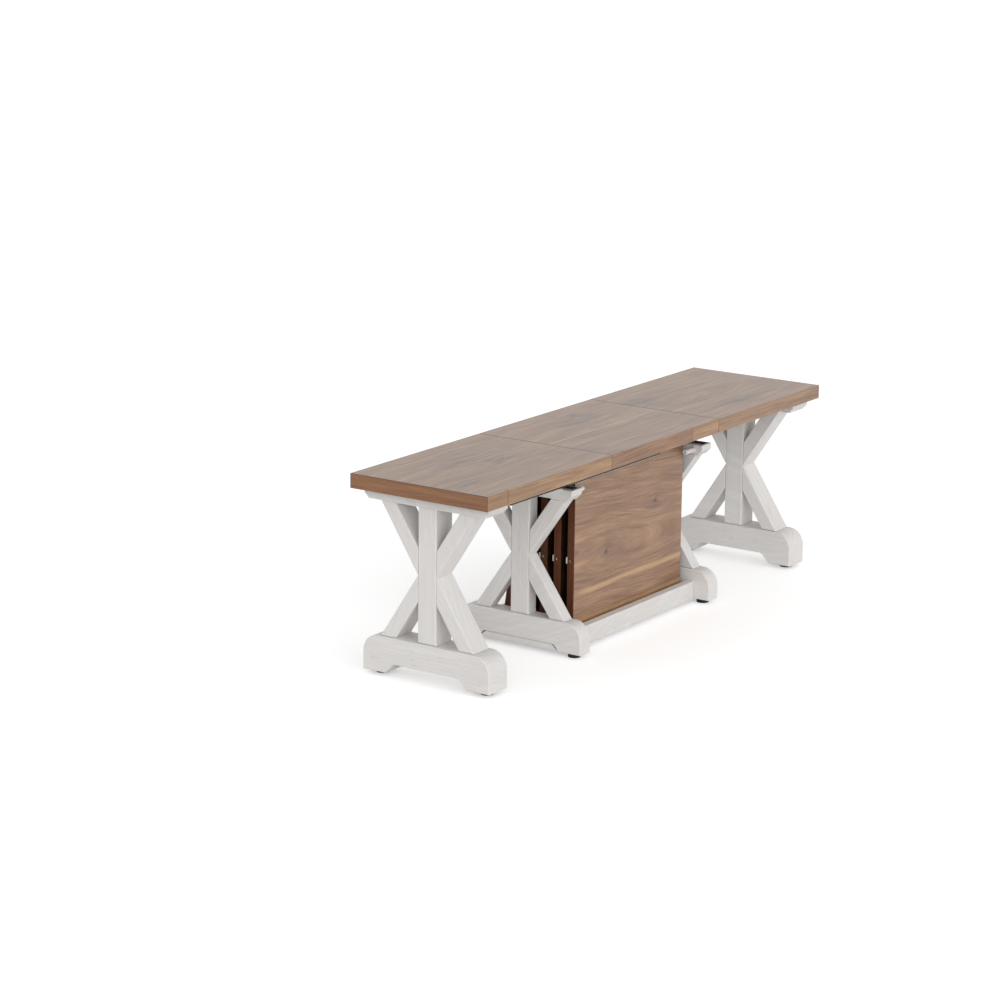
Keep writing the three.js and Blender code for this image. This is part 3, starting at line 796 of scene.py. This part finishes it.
def board_core(name, size, materials):
    """The board between its bands, with a socket in each end that meets another board."""
    band = timber().band
    outer = BOARDS[name]["outer"]
    low = Vector((-size.x / 2 + (band if outer < 0 else 0), -size.y / 2 + band, -timber().core))
    high = Vector((size.x / 2 - (band if outer > 0 else 0), size.y / 2 - band, 0))
    shape = bmesh.new()
    cuboid(shape, low, high)
    free = [end * size.x / 2 for end in ends_of(name)]

    def is_top_of_free_end(edge):
        return any(all(vert.co.z > -CLOSE and abs(vert.co.x - level) < CLOSE for vert in edge.verts)
                   for level in free)

    round_edges(shape, timber().board_edge, chosen=is_top_of_free_end)
    made = finished_object(name + "_core", shape, materials)
    for end in ends_of(name):
        cut_socket(made, socket_place(size, end))
    for polygon in made.data.polygons:
        is_top = polygon.normal.z > 0.9 and polygon.center.z > -0.1 * MM
        polygon.material_index = FACE if is_top else STAIN
    return made


def socket_place(size, end):
    """The mouth of a dowel socket: at half the board's thickness, a little in front of its middle."""
    return Vector((end * size.x / 2, -SOCKET_OFFSET, -timber().core / 2))


def cut_socket(board, place):
    """Drills a dowel socket into the end of a board."""
    drill = bmesh.new()
    bmesh.ops.create_cone(drill, cap_ends=True, segments=ROUND_SIDES, radius1=fittings().socket,
                          radius2=fittings().socket, depth=2 * fittings().socket_depth)
    turn = Matrix.Rotation(math.pi / 2, 4, "Y")
    bmesh.ops.transform(drill, matrix=Matrix.Translation(place) @ turn, verts=drill.verts)
    cutter = finished_object("drill", drill, [])
    shading = board.modifiers["even_shading"]
    shading.show_viewport = False
    cut = board.modifiers.new("socket", "BOOLEAN")
    cut.operation = "DIFFERENCE"
    cut.object = cutter
    cut.solver = "EXACT"
    drilled = bpy.data.meshes.new_from_object(board.evaluated_get(bpy.context.evaluated_depsgraph_get()))
    drilled.name = board.name
    board.modifiers.remove(cut)
    shading.show_viewport = True
    board.data = drilled
    smooth(drilled)
    bpy.data.objects.remove(cutter)


def band_piece(name, strips, outside, materials):
    """A band along one edge of a board, glued up from strips.

    outside lists the planes whose shared edges are rounded, as an axis and a level.
    """
    shape = bmesh.new()
    for low, high in strips:
        cuboid(shape, low, high)
    faces_out = {face for face in shape.faces
                 if any(abs(face.calc_center_median()[axis] - level) < CLOSE for axis, level in outside)}
    round_edges(shape, timber().board_edge, segments=3,
                chosen=lambda edge: all(face in faces_out for face in edge.link_faces))
    return finished_object(name, shape, materials)


def long_band_strips(name, size, sign):
    """The front band is cut at its joints, with a hair between the strips. The back band is whole."""
    cuts = [-size.x / 2, *(BOARDS[name]["joints"] if sign < 0 else []), size.x / 2]
    edges = sorted((sign * size.y / 2, sign * (size.y / 2 - timber().band)))
    strips = []
    for index, (start, end) in enumerate(zip(cuts, cuts[1:])):
        start = start + (JOINT_GAP if index else 0)
        strips.append((Vector((start, edges[0], -size.z)), Vector((end, edges[1], 0))))
    return strips


def seat_board(name, materials):
    """All the pieces of one board, in place on its body."""
    size = board_size(name)
    band = timber().band
    outer = BOARDS[name]["outer"]
    end_x = size.x / 2
    side_y = size.y / 2
    pieces = [board_core(name, size, materials)]
    for side, sign in SIDES.items():
        strips = long_band_strips(name, size, sign)
        joints = [(X, level) for low, high in strips for level in (low.x, high.x)]
        outside = [(Y, sign * side_y), (Z, 0), (Z, -size.z), *joints]
        pieces.append(band_piece(f"{name}_{side}_band", strips, outside, materials))
    if outer:
        across = sorted((outer * end_x, outer * (end_x - band)))
        low = Vector((across[0], -side_y + band, -size.z))
        high = Vector((across[1], side_y - band, 0))
        outside = [(X, outer * end_x), (Z, 0), (Z, -size.z)]
        pieces.append(band_piece(f"{name}_end_band", [(low, high)], outside, materials))
    for piece in pieces:
        grain_the_board(piece, name)
        piece.matrix_world = board_place(name)
        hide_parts(name)
        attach(piece, body_of(name))


def grain_the_board(piece, name):
    """Top faces carry on the board's own figure. Each strip of a band has its own wood and colour."""
    is_end_band = piece.name.endswith("end_band")
    is_core = piece.name.endswith("core")
    joints = BOARDS[name]["joints"] if piece.name.endswith("front_band") else []
    outer = BOARDS[name]["outer"]
    shifts = [grain_offset(f"{piece.name}_{strip}", 0) for strip in range(len(joints) + 1)]
    end_shift = grain_offset(name + "_end", 0)

    def strip_of(polygon):
        return sum(polygon.center.x > joint for joint in joints)

    def material_of(polygon):
        x, y, z = polygon.normal
        at_outer_end = x * outer > 0.2
        if at_outer_end and (abs(y) > 0.2 or z > 0.2) or not at_outer_end and abs(x) > 0.3:
            return END_GRAIN
        if z > 0.5:
            return FACE
        if is_end_band or at_outer_end:
            return END_BAND
        return FIRST_BAND + strip_of(polygon)

    def place_of(polygon, point):
        if polygon.material_index == FACE:
            return Vector((point.x, point.y, 0))
        if is_core and abs(polygon.normal.z) > 0.5:
            return point + shifts[0]
        if polygon.material_index == END_BAND or is_core or is_end_band:
            return Vector((point.y, point.z, point.x)) + end_shift
        return Vector((point.x, point.z, point.y)) + shifts[strip_of(polygon)]

    if not is_core:
        for polygon in piece.data.polygons:
            polygon.material_index = material_of(polygon)
    mark_grain(piece.data, place_of)


class BENCH_OT_boards(bpy.types.Operator):
    """Makes the seat boards and the stored leaves in walnut"""
    bl_idname = "bench.boards"
    bl_label = "Lay the walnut boards"

    def execute(self, context):
        shared = [new_material("dark_stain", stain), new_material("walnut_end_band", walnut, END_BAND_WOOD),
                  new_material("walnut_end_grain", end_grain)]
        bands = {}
        for name, wood in BOARDS.items():
            face = new_material("walnut_" + name, walnut, wood)
            for tint in wood["band_tints"]:
                if tint not in bands:
                    label = f"walnut_band_{len(bands) + 1}"
                    bands[tint] = new_material(label, walnut, {**BAND_WOOD, "tint": tint})
            seat_board(name, [face, *shared, *[bands[tint] for tint in wood["band_tints"]]])
        return {"FINISHED"}


# Slides, wear strips, glides and metal fittings

# The rim of a glide in mm: how far in from its radius, and how far up from the floor or down from its top
GLIDE_FOOT = ((2.0, 0), (0.9, 0.25), (0.3, 0.8), (0, 1.6))
GLIDE_SHOULDER = ((0, 2.4), (0.4, 1.2), (1.2, 0.3), (2.2, 0))
GLIDE_PIN = 2.5 * MM
GLIDE_GAP = 0.2 * MM
RIM_WALL = 0.35 * MM
RIM_DEPTH = 1.2 * MM
PLATE_LENGTH = 34 * MM
PLATE_WIDTH = 15 * MM
PLATE_THICKNESS = 4.6 * MM
PLATE_SETBACK = 1.0 * MM
PLATE_EDGE = 0.5 * MM
SCREWS_ALONG_PLATE = (0.3, 0.75)

# A screw head narrows from its rim at the plate to its face. Its middle hangs below the plate.
SCREW_FACE = 2.2 * MM
SCREW_RIM = 3.2 * MM
SCREW_HEIGHT = 1.2 * MM
SCREW_DROP = 0.5 * MM


class BENCH_OT_slides(bpy.types.Operator):
    """Finishes the telescopic slides and the wear strips that they run on"""
    bl_idname = "bench.slides"
    bl_label = "Coat the slides"

    def execute(self, context):
        # This finish paints shade into the slides' near-black colour and a highlight along their foot.
        coated = new_material("coated_slide", coated_metal)
        for slide in SLIDES:
            for side in SIDES:
                dressed(f"{slide}_{side}", "_coated", coated, fittings().slide_edge,
                        fittings().slide_worn)
        soft = new_material("wear_felt", felt)
        for node in ("left_wear_strip", "right_wear_strip"):
            materials = frame["nodes"][node].data.materials
            materials.clear()
            materials.append(soft)
        return {"FINISHED"}


def glide(node, material):
    """A moulded glide: a disc with a worn foot and a soft shoulder, and a pin with a chamfered tip."""
    low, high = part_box(node)
    centre = (low + high) / 2
    radius = (high.x - low.x) / 2
    top = high.z - low.z
    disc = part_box(node.split("_glide")[0] + "_foot")[0].z - low.z - GLIDE_GAP
    profile = [
        (0, 0), *[(radius - inward * MM, up * MM) for inward, up in GLIDE_FOOT],
        *[(radius - inward * MM, disc - down * MM) for inward, down in GLIDE_SHOULDER], (GLIDE_PIN, disc),
        (GLIDE_PIN, top - 1 * MM), (GLIDE_PIN - 0.8 * MM, top), (0, top),
    ]
    made = turned(node + "_moulded", profile, 48, material)
    made.location = (centre.x, centre.y, low.z)
    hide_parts(node)
    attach(made, body_of(node))


def socket_rim(name, board, place, end, material):
    """A thin metal rim round a dowel socket, let in flush with the end of the board."""
    outer = fittings().socket
    inner = outer - RIM_WALL
    profile = [(inner, -RIM_DEPTH), (inner, -0.4 * MM), (inner + 0.2 * MM, -0.1 * MM), (outer, -0.05 * MM),
               (outer - 0.05 * MM, -RIM_DEPTH), (inner, -RIM_DEPTH)]
    rim = turned(name, profile, 32, material, Matrix.Rotation(end * math.pi / 2, 4, "Y"))
    rim.matrix_world = board @ Matrix.Translation(place)
    return rim


def latch_plate(name, board, size, end, material):
    """A small plate under the end of a leaf, held by two screws."""
    shape = bmesh.new()
    reach = end * (size.x / 2 - PLATE_SETBACK)
    ends = sorted((reach, reach - end * PLATE_LENGTH))
    low = Vector((ends[0], -PLATE_WIDTH / 2 - SOCKET_OFFSET, -timber().core - PLATE_THICKNESS))
    high = Vector((ends[1], PLATE_WIDTH / 2 - SOCKET_OFFSET, -timber().core))
    cuboid(shape, low, high)
    round_edges(shape, PLATE_EDGE)
    for share in SCREWS_ALONG_PLATE:
        place = Vector((reach - end * PLATE_LENGTH * share, -SOCKET_OFFSET, low.z - SCREW_DROP))
        head = bmesh.ops.create_cone(shape, cap_ends=True, segments=ROUND_SIDES, radius1=SCREW_FACE,
                                     radius2=SCREW_RIM, depth=SCREW_HEIGHT)
        bmesh.ops.transform(shape, matrix=Matrix.Translation(place), verts=head["verts"])
    made = finished_object(name, shape, [material])
    mark_grain(made.data, shifted(name))
    made.matrix_world = board
    return made


class BENCH_OT_fittings(bpy.types.Operator):
    """Adds the glides, the rims of the dowel sockets and the latch plates"""
    bl_idname = "bench.fittings"
    bl_label = "Fit the small parts"

    def execute(self, context):
        plastic = new_material("moulded_glide", black_plastic)
        for trestle in TRESTLES:
            for side in SIDES:
                glide(f"{trestle}_glide_{side}", plastic)
        metal = new_material("bright_plate", bright_metal)
        for name in BOARDS:
            size = board_size(name)
            place = board_place(name)
            for end in ends_of(name):
                label = f"{name}_{'right' if end > 0 else 'left'}"
                fitted = [socket_rim(label + "_socket_rim", place, socket_place(size, end), end, metal)]
                if name.startswith("stored"):
                    fitted.append(latch_plate(label + "_latch_plate", place, size, end, metal))
                for piece in fitted:
                    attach(piece, body_of(name))
        return {"FINISHED"}


# Stage: floor, sky, lamps and the camera of the photograph, whose lens and sensor are in mm

CAMERA_PLACE = Vector((-5.9334, -3.7628, 2.0259))
CAMERA_YAW = 0.5983
CAMERA_PITCH = 0.2438
CAMERA_ROLL = 0.0113
CAMERA_LENS = 110.82
CAMERA_SENSOR = 36
CAMERA_SIGHT = 200
WHITE = (1, 1, 1, 1)
FLOOR_WHITE = (0.90, 0.90, 0.90, 1)
FRONT_LAMP_TURN = math.radians(72)
CORNER_LAMP_TURN = math.radians(35)


def facing(yaw, pitch):
    """Turns a camera or a lamp to look round by yaw, from +X towards +Y, and down by pitch."""
    return Matrix.Rotation(yaw - math.pi / 2, 4, "Z") @ Matrix.Rotation(math.pi / 2 - pitch, 4, "X")


def set_camera():
    """The camera stands where it stood for the photograph."""
    data = bpy.data.cameras.new("photo_camera")
    data.sensor_width = CAMERA_SENSOR
    data.lens = CAMERA_LENS
    data.clip_end = CAMERA_SIGHT
    camera = added_object("photo_camera", data)
    turn = facing(CAMERA_YAW, CAMERA_PITCH) @ Matrix.Rotation(CAMERA_ROLL, 4, "Z")
    camera.matrix_world = Matrix.Translation(CAMERA_PLACE) @ turn
    bpy.context.scene.camera = camera


def seen_directly(graph):
    """1 for the rays that the camera, a gloss or a glass sends out, and 0 for the rays that light things."""
    path = graph.add("ShaderNodeLightPath").outputs
    direct = graph.math("MAXIMUM", path["Is Camera Ray"], path["Is Glossy Ray"])
    return graph.math("MAXIMUM", direct, path["Is Transmission Ray"])


def set_sky():
    """Even light. The sky itself is seen as plain white."""
    world = bpy.data.worlds.new("even_sky")
    world.use_nodes = True
    bpy.context.scene.world = world
    graph = Graph(world.node_tree)
    lit = world.node_tree.nodes["Background"]
    lit.inputs["Color"].default_value = WHITE
    lit.inputs["Strength"].default_value = stage().sky
    seen = graph.add("ShaderNodeBackground", {"Color": WHITE, "Strength": 1.0})
    inputs = {0: seen_directly(graph), 1: lit.outputs[0], 2: seen.outputs[0]}
    chosen = graph.add("ShaderNodeMixShader", inputs)
    graph.feed(world.node_tree.nodes["World Output"].inputs["Surface"], chosen.outputs[0])


def white_floor(graph):
    """Matt white, with a glow that only seen rays pick up."""
    return {"Base Color": FLOOR_WHITE, "Roughness": 0.9, "Specular IOR Level": 0.0, "Emission Color": WHITE,
            "Emission Strength": graph.times(seen_directly(graph), stage().floor_lift)}


def set_floor():
    shape = bmesh.new()
    bmesh.ops.create_grid(shape, x_segments=1, y_segments=1, size=stage().floor_size / 2)
    material = new_material("white_floor", white_floor)
    finished_object("studio_floor", shape, [material])


def add_lamp(name, strength, height, turn):
    """A broad lamp far off. turn is how far it stands round from the left end towards the front."""
    data = bpy.data.lights.new(name, "SUN")
    data.energy = strength
    data.angle = stage().lamp_breadth
    added_object(name, data).matrix_world = facing(turn, height)


class BENCH_OT_stage(bpy.types.Operator):
    """Sets the white floor, the soft light and the camera"""
    bl_idname = "bench.stage"
    bl_label = "Set the stage"

    def execute(self, context):
        context.scene.view_settings.view_transform = "Standard"
        set_sky()
        set_floor()
        add_lamp("front_lamp", stage().front_lamp, stage().front_height, FRONT_LAMP_TURN)
        add_lamp("corner_lamp", stage().corner_lamp, stage().corner_height, CORNER_LAMP_TURN)
        set_camera()
        return {"FINISHED"}


class BENCH_PT_sidebar(bpy.types.Panel):
    """Sizes, colours and steps of the bench"""
    bl_idname = "BENCH_PT_sidebar"
    bl_label = "Extending bench"
    bl_space_type = "VIEW_3D"
    bl_region_type = "UI"
    bl_category = "Bench"

    def draw(self, context):
        for name in GROUPS:
            group = getattr(context.scene, name)
            box = self.layout.box()
            for key in group.__annotations__:
                box.prop(group, key)
        for operator in OPERATORS:
            self.layout.operator(operator.bl_idname)


OPERATORS = (BENCH_OT_trestles, BENCH_OT_boards, BENCH_OT_slides, BENCH_OT_fittings, BENCH_OT_stage)
GROUPS = {"bench_timber": BenchTimber, "bench_fittings": BenchFittings, "bench_stage": BenchStage}


def register():
    for made in (*GROUPS.values(), *OPERATORS, BENCH_PT_sidebar):
        bpy.utils.register_class(made)
    for name, group in GROUPS.items():
        setattr(bpy.types.Scene, name, PointerProperty(type=group))


def unregister():
    for name in GROUPS:
        delattr(bpy.types.Scene, name)
    for made in (BENCH_PT_sidebar, *reversed(OPERATORS), *GROUPS.values()):
        bpy.utils.unregister_class(made)


def main():
    register()
    bpy.ops.bench.stage()
    bpy.ops.bench.trestles()
    bpy.ops.bench.boards()
    bpy.ops.bench.slides()
    bpy.ops.bench.fittings()


if __name__ == "__main__":
    main()
